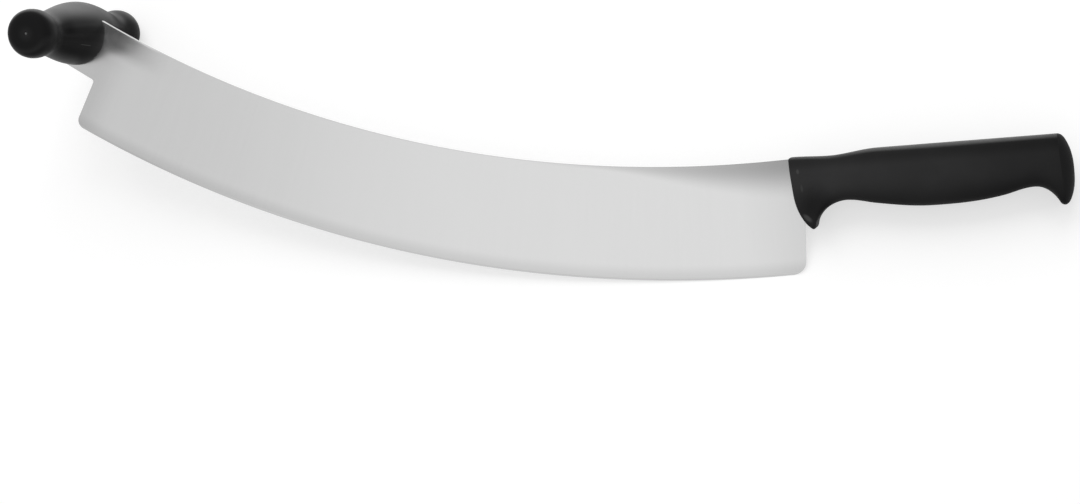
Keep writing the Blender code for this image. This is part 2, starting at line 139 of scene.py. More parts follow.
KNOB_LEAST_STEP = 0.0003  # steps that widen the knob by less are left out
WAIST_STEPS = 20
BARREL_STEPS = 32
TURN_STEPS = 144
CROSS_PARTING_TURN = -29.5

# The fine line that both halves of a mould leave
PARTING_WIDTH = 0.00028
PARTING_DEPTH = 0.00005
PARTING_FADE = 50  # near the axis, the line is no deeper than the radius divided by this

FACET_ROOM = 0.00007  # the smooth handles lie this far inside the part's flat facets
MERGE_DISTANCE = 0.000002
CUTTER_MERGE_DISTANCE = 0.000001
CREASE_ANGLE = 24  # from which an edge shows as a crease
FINISH_BLUR = 0.0001  # width over which one finish passes into the next

# Steel: its tones, among them those of its painted shade, painted reflections and painted highlights, then its
# roughness and what streaks, clouds and honing add to it
STEEL_TONE = 0.546
STEEL_TONE_SPREAD = 0.018
# Tones of the painted shade, painted reflections and painted highlights on the steel
PAINTED_SHADE_STEEL = 0.51 * STEEL_TONE
PAINTED_HIGHLIGHT_STEEL = 1.5 * STEEL_TONE
DARKER_BEVEL_TONE = 0.82 * STEEL_TONE
STEEL_ROUGHNESS = 0.14
STREAK_ROUGHNESS = 0.06
CLOUD_ROUGHNESS = 0.04
HONE_ROUGHNESS = -0.04
STEEL_ANISOTROPY = 0.8

# Grinding lines: noise cells per metre along the blade and across it, and the noise's detail
FINE_LINES = (4200.0, 45.0, 3.0)
BROAD_LINES = (330.0, 9.0, 2.0)
LINE_CELLS_THROUGH = 500.0
LINE_ROUGHNESS = 0.6
FINE_LINE_SHARE = 0.65
CLOUD_CELLS = 22.0
GRINDING_RELIEF = 0.000003

# Plastics: noise cells per metre of the grain's pits, its waves and the wear
PIT_CELLS = 4600.0
WAVE_CELLS = 620.0
WEAR_CELLS = 38.0
WEAR_DETAIL = 3.0
PLASTIC_NOISE_ROUGHNESS = 0.55
PIT_SHARE = 0.7  # of the grain's relief, the rest of which are waves
PIT_ROUGHNESS = 0.06
WEAR_ROUGHNESS = 0.05
WEAR_TINTS = (0.94, 1.08)

# Each plastic: its colour, its roughness, the Facing values between which its upper side turns glossy, the depth
# of its grain, its sheen all over and its added sheen where the upper side is glossy
GRIP_COLOUR = (0.037, 0.037, 0.0375)
# Painted shade: the dome at the butt takes a darker colour than the rest of the grip
DOME_SHADE_COLOUR = (0.0175, 0.0175, 0.0177)
GRIP_ROUGHNESS = 0.48
GRIP_GLOSSY_FACING = (0.26, 0.56)
GRIP_GRAIN = 0.00002
GRIP_SHEEN = 0.06
GRIP_TOP_SHEEN = 0.58
CROSS_COLOUR = (0.0048, 0.0048, 0.0050)
CROSS_ROUGHNESS = 0.36
CROSS_GLOSSY_FACING = (0.32, 0.68)
CROSS_GRAIN = 0.000008
CROSS_SHEEN = 0.14
CROSS_TOP_SHEEN = 2.0
FAR_TOP_ROUGHNESS = 0.12

# Painted highlights on the guard's sides, pale spots that stand in for glints: x, y, half length, half width,
# heading, tone
GUARD_GLINTS = (
    (0.0055, -0.0085, 0.0013, 0.0008, -85.0, 0.066),
    (0.0069, -0.0172, 0.0020, 0.0007, -85.0, 0.050),
    (0.0086, -0.0327, 0.0029, 0.0013, -44.0, 0.072),
)

# Pale spots on the cross handle: painted sheen round the gates, a painted highlight on the parting line, and pale
# torn plastic where the gates tore off
GATE_SHEEN_TONE = 0.025
PARTING_GLINT_TONE = 0.05
PARTING_GLINT_HEIGHT = 0.017
TORN_TONE = 0.14
TORN_ROUGHNESS = 0.2
TORN_LAYER = 0.001  # only what lies this near the end faces is torn

# Light: shares of the full light on a surface that faces it
WORLD_LIGHT = 0.50
FLOOR_LIFT = 0.57
# Softboxes: name, place, target, width, height, share of the light, whether they show in gloss
SOFTBOXES = (
    ("key", (-0.35, 1.15, 1.35), (0.0, 0.0, 0.0), 1.7, 1.5, 0.52, False),
    ("panel", (0.0, -0.77, 1.5), (0.03, 0.0, 0.0), 1.3, 1.2, 0.054, True),
)

# Floor
FLOOR_REACH = 6.0
FLOOR_TONE = 0.55
FLOOR_TONE_SPREAD = 0.005
FLOOR_ROUGHNESS = 0.9
PAPER_CELLS = 90.0

# Camera, in the knife's frame, with its lens and sensor in millimetres
CAMERA_PLACE = (0.144838, 0.052543, 1.02934)
CAMERA_TURNS = ((-5.4, "Z"), (14.780, "Y"), (-6.439, "X"))
CAMERA_LENS = 66.667
CAMERA_SENSOR = 36.0
CAMERA_CLIP = (0.05, 50.0)

ARC_CENTRE = Vector((
    -SPINE_RADIUS * math.sin(math.radians(SPINE_SLOPE)),
    SPINE_RADIUS * math.cos(math.radians(SPINE_SLOPE)) - SPINE_INSET,
    0.0,
))


def on_blade(travel, depth):
    """Point at a travel along the spine from the main handle and a depth below the spine."""
    angle = math.radians(SPINE_SLOPE) - travel / SPINE_RADIUS
    radius = SPINE_RADIUS + depth
    return ARC_CENTRE + radius * Vector((math.sin(angle), -math.cos(angle), 0.0))


def cross_axis():
    """Where the cross handle's axis crosses the blade's middle plane."""
    return on_blade(BLADE_LENGTH + NECK_LENGTH, CROSS_AXIS_DEPTH)


def knife_frame(record):
    """The knife's frame in the world, from the places of the record's two mounts."""
    mounts = {mount["name"]: mount for mount in record["mounts"]}
    side = Vector(mounts["blade_side"]["pos_m"])
    end = Vector(mounts["cross_handle_end"]["pos_m"])
    up = Vector(mounts["cross_handle_end"]["axis"]).normalized()
    own_side = on_blade(BLADE_LENGTH / 2, SIDE_MOUNT_DEPTH)
    own_end = cross_axis() + Vector((END_MOUNT_RADIUS, 0, CROSS_LENGTH / 2))
    own_run = (own_side - own_end).to_2d()
    run = side - end
    run = (run - up * run.dot(up)).normalized()
    across = up.cross(run)
    heading = math.atan2(own_run.y, own_run.x)
    along = run * math.cos(heading) - across * math.sin(heading)
    turn = Matrix((along, up.cross(along), up)).transposed().to_4x4()
    return Matrix.Translation(end - turn @ own_end) @ turn


def add_object(name, data):
    """An object in the scene, with a mesh, a lamp or a camera as its data."""
    thing = bpy.data.objects.new(name, data)
    bpy.context.scene.collection.objects.link(thing)
    return thing


def as_mesh(solid, name):
    """A mesh from a bmesh, which is freed."""
    mesh = bpy.data.meshes.new(name)
    solid.to_mesh(mesh)
    solid.free()
    return mesh


def heading_vector(degrees):
    """A vector of length 1 at an angle from the knife's X towards its Y."""
    return Vector((math.cos(math.radians(degrees)), math.sin(math.radians(degrees)), 0.0))


def smooth_line(knots, counts):
    """Points of a smooth line through (x, y, heading) knots, with a count of steps for each stretch."""
    points = [Vector((knots[0][0], knots[0][1], 0.0))]
    for (x0, y0, leave), (x1, y1, arrive), count in zip(knots, knots[1:], counts):
        start = Vector((x0, y0, 0.0))
        end = Vector((x1, y1, 0.0))
        reach = CURVE_REACH * (end - start).length
        out = start + reach * heading_vector(leave)
        back = end - reach * heading_vector(arrive)
        points += interpolate_bezier(start, out, back, end, GRIP_FINENESS * count + 1)[1:]
    return points


def eased(values, counts):
    """Numbers that pass smoothly from each value to the next, with a count of steps for each stretch."""
    numbers = [values[0]]
    for start, end, count in zip(values, values[1:], counts):
        steps = GRIP_FINENESS * count
        for i in range(1, steps + 1):
            share = i / steps
            numbers.append(start + (end - start) * share * share * (3 - 2 * share))
    return numbers


def grip_lines():
    """The grip's outline as an upper and a lower line from front to butt, and the middle line between them."""
    front = (FRONT_SETBACK, -FRONT_DEPTH)
    butt = (GRIP_LENGTH, -BUTT_DEPTH)
    upper = smooth_line([
        (*front, 95),
        (0.0005, -0.0022, 90),  # upper front corner
        (0.0014, -0.0014, 0),
        (THUMB_REST_SETBACK, -THUMB_REST_DIP, 0),
        (THUMB_REST_SETBACK + 0.026, BACK_HEIGHT, 0),
        (GRIP_LENGTH - CORNER_TO_BUTT, BACK_HEIGHT, 0),  # crease
        (GRIP_LENGTH - 0.0035, -0.0026, -62),
        (*butt, -90),
    ], UPPER_STEPS)
    lower = smooth_line([
        (*front, -85),
        (GUARD_SETBACK - 0.0050, -GUARD_DEPTH + 0.0061, -62),
        (GUARD_SETBACK, -GUARD_DEPTH, -38),  # guard's tip
        (GUARD_SETBACK + 0.0021, -GUARD_DEPTH + 0.0015, 80),
        (THROAT_SETBACK, -THROAT_DEPTH, 0),
        (THROAT_SETBACK + 0.015, -THROAT_DEPTH - 0.0026, -9.5),
        (BELLY_SETBACK, -BELLY_DEPTH, 0),
        (GRIP_LENGTH - WAIST_TO_BUTT - 0.0160, -WAIST_DEPTH - 0.0032, 10.5),
        (GRIP_LENGTH - WAIST_TO_BUTT, -WAIST_DEPTH, 0),
        (GRIP_LENGTH - HOOK_TO_BUTT - 0.0026, -HOOK_DEPTH + 0.0014, -62),
        (GRIP_LENGTH - HOOK_TO_BUTT, -HOOK_DEPTH, 10),  # hook's tip
        (GRIP_LENGTH - HOOK_TO_BUTT + 0.0026, -HOOK_DEPTH + 0.0024, 65),
        (*butt, 90),
    ], LOWER_STEPS)
    middle = smooth_line([
        (0.008, -0.0165, 10),
        (0.013, -0.0150, 20),
        (THROAT_SETBACK, -THROAT_DEPTH / 2 - 0.001, 0),
        (BELLY_SETBACK, -BELLY_DEPTH / 2, 0),
        (GRIP_LENGTH - WAIST_TO_BUTT, -WAIST_DEPTH / 2, 0),
        (GRIP_LENGTH - 0.0115, -0.0150, -22),
        (GRIP_LENGTH - 0.0030, -0.0190, -10),
    ], MIDDLE_STEPS)
    return upper, lower, middle


def hollowed(x, y):
    """Share of the thickness that is left at a place near the finger hollow."""
    reach = HOLLOW_FRONT_REACH if x < HOLLOW_SETBACK else HOLLOW_REAR_REACH
    along = (x - HOLLOW_SETBACK) / reach
    across = (y + HOLLOW_DEPTH) / HOLLOW_HEIGHT
    return 1 - HOLLOW_SHARE * math.exp(-along * along - across * across)


def dome_crease():
    """The straight crease before the butt's dome: its upper end, its length, its own way down and the way out."""
    high = Vector((GRIP_LENGTH - CORNER_TO_BUTT, BACK_HEIGHT, 0))
    low = Vector((GRIP_LENGTH - HOOK_TO_BUTT, -HOOK_DEPTH, 0))
    down = (low - high).normalized()
    return high, (low - high).length, down, Vector((-down.y, down.x, 0))


def dome_end(grip, outline):
    """Cut a half grip off where its straight back ends, and close it with a dome that meets its outline."""
    high, length, down, out = dome_crease()
    bulge = sorted(((point - high).dot(down), (point - high).dot(out)) for point in outline)
    bulge = [(0.0, 0.0)] + [pair for pair in bulge if pair[1] > 0] + [(length, 0.0)]

    def reach_at(run):
        """How far the outline is beyond the crease, at a distance down it."""
        for (run_0, reach_0), (run_1, reach_1) in zip(bulge, bulge[1:]):
            if run_0 <= run <= run_1 and run_1 > run_0:
                return reach_0 + (reach_1 - reach_0) * (run - run_0) / (run_1 - run_0)
        return 0.0

    everything = grip.verts[:] + grip.edges[:] + grip.faces[:]
    cut_off = bmesh.ops.bisect_plane(grip, geom=everything, plane_co=high, plane_no=out, clear_outer=True)
    rim = [item for item in cut_off["geom_cut"] if isinstance(item, bmesh.types.BMVert)]
    sides = [item for item in cut_off["geom_cut"] if isinstance(item, bmesh.types.BMEdge)]
    crown = math.asin(2 * DOME_BULGE / (1 + DOME_BULGE ** 2))
    rings = [{vert: vert for vert in rim}]
    for k in range(1, DOME_STEPS + 1):
        turn = crown * (1 - k / DOME_STEPS)
        share = 1 - (1 - math.cos(turn)) / (1 - math.cos(crown))
        height = math.sin(turn) / math.sin(crown)
        ring = {}
        for vert in rim:
            reach = reach_at((vert.co - high).dot(down))
            ring[vert] = grip.verts.new((*(vert.co + share * reach * out).xy, height * vert.co.z))
        rings.append(ring)
    for inner, outer in zip(rings, rings[1:]):
        for side in sides:
            start, end = side.verts
            grip.faces.new((inner[start], inner[end], outer[end], outer[start]))
    bmesh.ops.remove_doubles(grip, verts=grip.verts, dist=MERGE_DISTANCE)
    bmesh.ops.recalc_face_normals(grip, faces=grip.faces)
    if sum(face.normal.z * face.calc_area() for face in grip.faces) < 0:
        bmesh.ops.reverse_faces(grip, faces=grip.faces)


def grip_mesh():
    """The half of the main handle on the +Z side, lofted from its outline up to its middle line."""
    upper, lower, middle = grip_lines()
    thicknesses = (
        FRONT_THICKNESS,
        FRONT_THICKNESS,
        THROAT_THICKNESS,
        BELLY_THICKNESS,
        GRIP_WAIST_THICKNESS,
        BUTT_THICKNESS,
        BUTT_THICKNESS,
    )
    half_thickness = [thickness / 2 - FACET_ROOM for thickness in eased(thicknesses, MIDDLE_STEPS)]
    last = len(middle) - 1
    around = (
        (upper, eased(UPPER_SQUARENESS, MIDDLE_STEPS), range(last + 1)),
        (lower, eased(LOWER_SQUARENESS, MIDDLE_STEPS), range(last - 1, 0, -1)),
    )

    def inside(line, i, inset):
        """A place inset from one of the outline's points towards the middle line."""
        return line[i] + inset * (middle[i] - line[i]).normalized()

    def at_parting(line, i, height):
        """A place on the parting line's groove."""
        place = inside(line, i, FACET_ROOM + PARTING_DEPTH * (1 - height / (PARTING_WIDTH / 2)))
        return place.x, place.y, height

    def on_side(line, squareness, i, turn):
        """A place on the grip's side, at a turn from the outline up to the middle line."""
        power = 2 / squareness[i]
        place = inside(line, i, FACET_ROOM).lerp(middle[i], 1 - math.cos(turn) ** power)
        height = half_thickness[i] * hollowed(place.x, place.y)
        return place.x, place.y, height * math.sin(turn) ** power

    rows = []
    for height in (0.0, PARTING_WIDTH / 2):
        rows.append([at_parting(line, i, height) for line, _, order in around for i in order])
    for j in range(1, GRIP_ROWS):
        turn = math.pi / 2 * j / GRIP_ROWS
        rows.append([on_side(line, squareness, i, turn) for line, squareness, order in around for i in order])
    grip = bmesh.new()
    rings = [[grip.verts.new(place) for place in row] for row in rows]
    ridge = [
        grip.verts.new((place.x, place.y, half_thickness[i] * hollowed(place.x, place.y)))
        for i, place in enumerate(middle)
    ]
    rings.append(ridge + ridge[last - 1:0:-1])
    for inner, outer in zip(rings[1:], rings):
        for i in range(2 * last):
            n = (i + 1) % (2 * last)
            grip.faces.new((outer[n], outer[i], inner[i], inner[n]))
    dome_end(grip, [inside(line, i, FACET_ROOM) for line in (upper, lower) for i in range(last + 1)])
    return as_mesh(grip, "main_grip")


def cross_profile():
    """Outer line of the cross handle from its top end to its bottom end, as (radius, height) points."""
    half = CROSS_LENGTH / 2
    barrel = BARREL_DIAMETER / 2 - FACET_ROOM
    waist = WAIST_DIAMETER / 2 - FACET_ROOM
    knob = KNOB_DIAMETER / 2 - FACET_ROOM
    waist_z = half - WAIST_TO_END
    crown_z = half - KNOB_CROWN_TO_END
    upper = [
        (0, half - GATE_DEPTH * STUB_DEPTHS[0]),
        (STUB_RADII[0], half - GATE_DEPTH * STUB_DEPTHS[1]),
        (STUB_RADII[1], half - GATE_DEPTH),
        (GATE_DIAMETER / 2 - GATE_FOOT_INSET, half - GATE_DEPTH),
        (GATE_DIAMETER / 2 - GATE_RIM_INSET, half - GATE_RIM_INSET),
        (GATE_DIAMETER / 2 + GATE_RIM_OUTSET, half),
    ]
    for i in range(KNOB_FIRST_STEP, KNOB_STEPS + 1):
        turn = math.pi / 2 * (1 - i / KNOB_STEPS)
        radius = knob * math.cos(turn) ** (2 / KNOB_ROUNDING)
        if radius > upper[-1][0] + KNOB_LEAST_STEP:
            upper.append((radius, crown_z + KNOB_CROWN_TO_END * math.sin(turn)))
    to_waist = interpolate_bezier(
        Vector((knob, crown_z, 0)),
        Vector((knob, crown_z - KNOB_REACH, 0)),
        Vector((waist, waist_z + WAIST_REACH, 0)),
        Vector((waist, waist_z, 0)),
        WAIST_STEPS,
    )
    to_barrel = interpolate_bezier(
        Vector((waist, waist_z, 0)),
        Vector((waist, waist_z * WAIST_HOLD, 0)),
        Vector((barrel, waist_z * BARREL_HOLD, 0)),
        Vector((barrel, 0, 0)),
        BARREL_STEPS,
    )
    upper += [(point.x, point.y) for point in to_waist[1:] + to_barrel[1:]]
    return upper + [(radius, -height) for radius, height in reversed(upper[:-1])]


def turned_mesh(name, profile):
    """A solid turned about Z from a profile whose ends lie on the axis, with the parting line down both sides."""
    half_width = math.degrees(PARTING_WIDTH / BARREL_DIAMETER)
    turns = []
    for i in range(TURN_STEPS):
        turn = CROSS_PARTING_TURN + i * 360 / TURN_STEPS
        if i % (TURN_STEPS // 2) == 0:
            turns += [(turn - half_width, 0.0), (turn, PARTING_DEPTH), (turn + half_width, 0.0)]
        else:
            turns.append((turn, 0.0))
    solid = bmesh.new()
    rings = []
    for radius, height in profile:
        if radius == 0:
            rings.append([solid.verts.new((0, 0, height))] * len(turns))
            continue
        ring = []
        for turn, inset in turns:
            reach = radius - min(inset, radius / PARTING_FADE)
            angle = math.radians(turn)
            ring.append(solid.verts.new((reach * math.cos(angle), reach * math.sin(angle), height)))
        rings.append(ring)
    for above, below in zip(rings, rings[1:]):
        for i in range(len(turns)):
            n = (i + 1) % len(turns)
            corners = []
            for vert in (above[i], below[i], below[n], above[n]):
                if vert not in corners:
                    corners.append(vert)
            solid.faces.new(corners)
    return as_mesh(solid, name)


def steel_cutter(blade_node):
    """A closed copy of the blade, which leaves its own form as the room for it in each handle."""
    solid = bmesh.new()
    solid.from_mesh(blade_node.data)
    bmesh.ops.remove_doubles(solid, verts=solid.verts, dist=CUTTER_MERGE_DISTANCE)
    return add_object("steel_cutter", as_mesh(solid, "steel_cutter"))


def seat_on_steel(handle, cutter):
    """Cut the room for the steel out of a handle, keep the cut mesh and let it lie in the world's frame."""
    boolean = handle.modifiers.new("room for the steel", "BOOLEAN")
    boolean.operation = "DIFFERENCE"
    boolean.solver = "EXACT"
    boolean.object = cutter
    bpy.context.view_layer.update()
    mesh = bpy.data.meshes.new_from_object(handle.evaluated_get(bpy.context.evaluated_depsgraph_get()))
    handle.modifiers.clear()
    mesh.transform(handle.matrix_world)
    handle.matrix_world = Matrix()
    solid = bmesh.new()
    solid.from_mesh(mesh)
    bmesh.ops.remove_doubles(solid, verts=solid.verts, dist=MERGE_DISTANCE)
    bmesh.ops.recalc_face_normals(solid, faces=solid.faces)
    solid.to_mesh(mesh)
    solid.free()
    handle.data = mesh
    mesh.shade_smooth()
    mesh.set_sharp_from_angle(angle=math.radians(CREASE_ANGLE))


def grey(tone):
    """A colour without hue."""
    return tone, tone, tone, 1.0


class Nodes:
    """A node tree with short ways to add and join nodes."""

    def __init__(self, tree):
        self.tree = tree

    def node(self, kind, **settings):
        """A new node with its settings."""
        made = self.tree.nodes.new(kind)
        for key, value in settings.items():
            setattr(made, key, value)
        return made

    def set(self, socket, value):
        """Link an input to another node's output, or give it a value."""
        if hasattr(value, "is_linked"):
            self.tree.links.new(value, socket)
        else:
            socket.default_value = value

    def fed(self, kind, values, **settings):
        """Outputs of a new node whose first inputs are set."""
        made = self.node(kind, **settings)
        for socket, value in zip(made.inputs, values):
            self.set(socket, value)
        return made.outputs

    def math(self, operation, *inputs):
        """The outcome of an operation on one or two numbers."""
        return self.fed("ShaderNodeMath", inputs, operation=operation)[0]

    def vector_math(self, operation, *inputs):
        """The outcome of an operation on one or two vectors."""
        outputs = self.fed("ShaderNodeVectorMath", inputs, operation=operation)
        return outputs["Value" if operation in ("DOT_PRODUCT", "LENGTH") else "Vector"]

    def total(self, first, *others):
        """The sum of all values."""
        for other in others:
            first = self.math("ADD", first, other)
        return first

    def product(self, first, *others):
        """The product of all values."""
        for other in others:
            first = self.math("MULTIPLY", first, other)
        return first

    def rest_of(self, share):
        """What a share leaves of 1."""
        return self.math("SUBTRACT", 1.0, share)

    def swing(self, more, less):
        """A factor of 1, with one share added and another taken off."""
        return self.total(self.math("SUBTRACT", more, less), 1.0)

    def ramp(self, value, start, end, before, after):
        """An outcome that changes smoothly while a value goes from a start to an end."""
        inputs = (value, start, end, before, after)
        return self.fed("ShaderNodeMapRange", inputs, interpolation_type="SMOOTHSTEP")[0]

    def zone(self, *ramps):
        """The product of ramps, each with its value, its start and end, and its outcome before and after them."""
        return self.product(*[self.ramp(*ramp) for ramp in ramps])

    def combine(self, x, y, z=0.0):
        """A vector from its parts."""
        return self.fed("ShaderNodeCombineXYZ", (x, y, z))[0]

    def offset(self, x, y, centre):
        """Way to a place from a centre, both in the knife's XY plane."""
        return self.combine(self.math("SUBTRACT", x, centre[0]), self.math("SUBTRACT", y, centre[1]))

    def distance(self, x, y, centre):
        """Distance of a place from a centre, both in the knife's XY plane."""
        return self.vector_math("LENGTH", self.offset(x, y, centre))

    def noise(self, vector, scale, detail=2.0, roughness=0.5):
        """Smooth noise from 0 to 1 at a place, with its cells per metre."""
        made = self.node("ShaderNodeTexNoise")
        self.set(made.inputs["Vector"], vector)
        made.inputs["Scale"].default_value = scale
        made.inputs["Detail"].default_value = detail
        made.inputs["Roughness"].default_value = roughness
        return made.outputs["Fac"]

    def mix(self, factor, first, second):
        """A colour that passes from a first one to a second one as the factor rises from 0 to 1."""
        made = self.node("ShaderNodeMix", data_type="RGBA")
        self.set(made.inputs["Factor"], factor)
        self.set(made.inputs["A"], first)
        self.set(made.inputs["B"], second)
        return made.outputs["Result"]

    def layered(self, tint, layers):
        """A tint under layers of grey, each with its share and its tone."""
        for share, tone in layers:
            tint = self.mix(share, tint, grey(tone))
        return tint


class Surface(Nodes):
    """A material with a Principled shader."""

    def __init__(self, name):
        self.material = bpy.data.materials.new(name)
        self.material.use_nodes = True
        super().__init__(self.material.node_tree)
        self.shader = self.tree.nodes["Principled BSDF"]
        self.coordinates = self.node("ShaderNodeTexCoord").outputs
        self.place = self.coordinates["Object"]

    def put(self, name, value):
        """Link one of the shader's own sockets, or give it a value."""
        self.set(self.shader.inputs[name], value)

    def bump(self, height, distance, normal=None):
        """Let a height stand out of the surface by a distance."""
        made = self.node("ShaderNodeBump")
        self.set(made.inputs["Height"], height)
        made.inputs["Distance"].default_value = distance
        if normal:
            self.set(made.inputs["Normal"], normal)
        self.put("Normal", made.outputs[0])

    def knife_coordinates(self, knife):
        """The place along the knife's own X, Y and Z, for a mesh that lies in the world's frame."""
        outputs = []
        for row in knife.inverted()[:3]:
            along = self.vector_math("DOT_PRODUCT", self.place, Vector(row[:3]))
            outputs.append(self.math("ADD", along, row[3]))
        return outputs


def blade_coordinates(steel, x, y):
    """Travel along the spine from the main handle, and depth below the spine."""
    from_centre_x = steel.math("SUBTRACT", x, ARC_CENTRE.x)
    from_centre_y = steel.math("SUBTRACT", y, ARC_CENTRE.y)
    angle = steel.math("ARCTAN2", from_centre_x, steel.product(from_centre_y, -1.0))
    travel = steel.product(steel.math("SUBTRACT", math.radians(SPINE_SLOPE), angle), SPINE_RADIUS)
    radius = steel.vector_math("LENGTH", steel.combine(from_centre_x, from_centre_y))
    return travel, steel.math("SUBTRACT", radius, SPINE_RADIUS)


def grinding(steel, travel, depth, z):
    """Fine and broad streaks across the blade."""
    streaks = []
    for cells_along, cells_across, detail in (FINE_LINES, BROAD_LINES):
        place = steel.combine(
            steel.product(travel, cells_along),
            steel.product(depth, cells_across),
            steel.product(z, LINE_CELLS_THROUGH),
        )
        streaks.append(steel.noise(place, 1.0, detail, LINE_ROUGHNESS))
    fine, broad = streaks
    return steel.total(steel.product(fine, FINE_LINE_SHARE), steel.product(broad, 1 - FINE_LINE_SHARE))


def steel_zones(steel, travel, depth, from_cross, facing_side):
    """Zones of painted shade, painted reflections and painted highlights on the steel, each with its share and its
    tone.
    """
    # Painted reflection: the steel is coloured darker along the spine next to the main handle, where the handle's
    # dark reflection falls
    grip_zone_depth = steel.ramp(travel, -0.010, 0.110, 0.022, 0.002)
    grip_reflection_shade = steel.zone(
        (travel, -0.010, 0.150, 1.0, 0.0),
        (steel.math("DIVIDE", depth, grip_zone_depth), 0.10, 1.0, 1.0, 0.0),
    )
    # Painted reflection: the steel is coloured darker round the cross handle, where its dark reflection falls, except
    # on a strip along the spine
    spine_clear_of_cross_reflection = steel.zone(
        (depth, 0.004, 0.009, 0.85, 0.0),
        (from_cross, 0.030, 0.038, 1.0, 0.0),
    )
    cross_reflection_shade = steel.product(
        steel.zone(
            (from_cross, 0.017, 0.025, 0.0, 0.50),
            (from_cross, 0.030, 0.062, 1.0, 0.0),
            (depth, 0.007, 0.016, 1.0, 0.0),
        ),
        steel.rest_of(spine_clear_of_cross_reflection),
    )
    # Painted highlight: the steel is coloured brighter along the spine next to the cross handle's barrel
    barrel_highlight = steel.zone(
        (depth, 0.007, 0.010, 0.8, 0.0),
        (from_cross, 0.017, 0.022, 1.0, 0.0),
    )
    # Painted highlight: the land below the spine is coloured brighter near the cross handle
    spine_highlight = steel.zone(
        (depth, 0.0003, 0.0011, 0.5, 0.0),
        (travel, 0.355, 0.370, 0.0, 1.0),
        (travel, 0.376, 0.388, 1.0, 0.2),
    )
    # Painted shade: the narrow faces of the spine, the edge and the ends are coloured darker
    on_spine = steel.zone(
        (depth, 0.0005, 0.001, 1.0, 0.0),
        (travel, 0.20, 0.36, 0.30, 0.0),
    )
    on_edge = steel.zone(
        (depth, 0.0005, 0.001, 0.0, 1.0),
        (travel, 0.20, 0.36, 0.30, 0.70),
    )
    narrow_face_shade = steel.product(
        steel.ramp(facing_side, 0.2, 0.5, 1.0, 0.0),
        steel.total(on_spine, on_edge),
    )
    # Painted shade: the steel darkens towards the cutting edge, the heel and the lower front end
    front_end_shade = steel.zone(
        (travel, BLADE_LENGTH - 0.020, BLADE_LENGTH + 0.001, 0.0, 0.14),
        (depth, 0.010, 0.019, 0.0, 1.0),
    )
    lit = steel.product(
        steel.zone(
            (depth, BLADE_WIDTH - 0.009, BLADE_WIDTH - EDGE_BEVEL_WIDTH, 1.0, 0.86),
            (travel, -0.012, 0.030, 0.89, 1.0),
        ),
        steel.rest_of(front_end_shade),
    )
    return (
        (grip_reflection_shade, PAINTED_SHADE_STEEL),
        (cross_reflection_shade, PAINTED_SHADE_STEEL),
        (narrow_face_shade, PAINTED_SHADE_STEEL),
        (spine_highlight, PAINTED_HIGHLIGHT_STEEL),
        (barrel_highlight, PAINTED_HIGHLIGHT_STEEL),
        (steel.rest_of(lit), 0.0),
    )


def blade_steel(knife):
    """Satin steel, ground across the blade, with painted reflections that darken it next to both handles, painted
    highlights and painted shade along its spine, narrow faces and rims, and a honed bevel along the edge whose colour
    darkens towards the cross handle.
    """
    steel = Surface("satin_ground_steel")
    x, y, z = steel.knife_coordinates(knife)
    travel, depth = blade_coordinates(steel, x, y)
    from_cross = steel.distance(x, y, cross_axis())
    true_normal = steel.node("ShaderNodeNewGeometry").outputs["True Normal"]
    side_normal = knife.to_3x3() @ Vector((0, 0, 1))
    facing_side = steel.math("ABSOLUTE", steel.vector_math("DOT_PRODUCT", true_normal, side_normal))

    streak = grinding(steel, travel, depth, z)
    streaked = steel.mix(streak, grey(STEEL_TONE - STEEL_TONE_SPREAD), grey(STEEL_TONE + STEEL_TONE_SPREAD))
    ground = steel.layered(streaked, steel_zones(steel, travel, depth, from_cross, facing_side))
    bevel_start = BLADE_WIDTH - EDGE_BEVEL_WIDTH
    honed = steel.ramp(depth, bevel_start - FINISH_BLUR, bevel_start, 0.0, 1.0)
    # The honed bevel's colour darkens towards the cross handle
    hone = steel.mix(steel.ramp(travel, 0.26, 0.36, 0.0, 1.0), grey(STEEL_TONE), grey(DARKER_BEVEL_TONE))
    steel.put("Base Color", steel.mix(honed, ground, hone))

    cloud = steel.noise(steel.combine(x, y, z), CLOUD_CELLS)
    steel.put("Roughness", steel.total(
        STEEL_ROUGHNESS,
        steel.product(streak, STREAK_ROUGHNESS),
        steel.product(cloud, CLOUD_ROUGHNESS),
        steel.product(honed, HONE_ROUGHNESS),
    ))
    steel.put("Metallic", 1.0)
    steel.put("Anisotropic", STEEL_ANISOTROPY)
    from_centre = steel.vector_math("SUBTRACT", steel.place, knife @ ARC_CENTRE)
    along_arc = steel.vector_math("CROSS_PRODUCT", side_normal, from_centre)
    steel.put("Tangent", steel.vector_math("NORMALIZE", along_arc))
    steel.bump(streak, GRINDING_RELIEF, true_normal)
    return steel.material


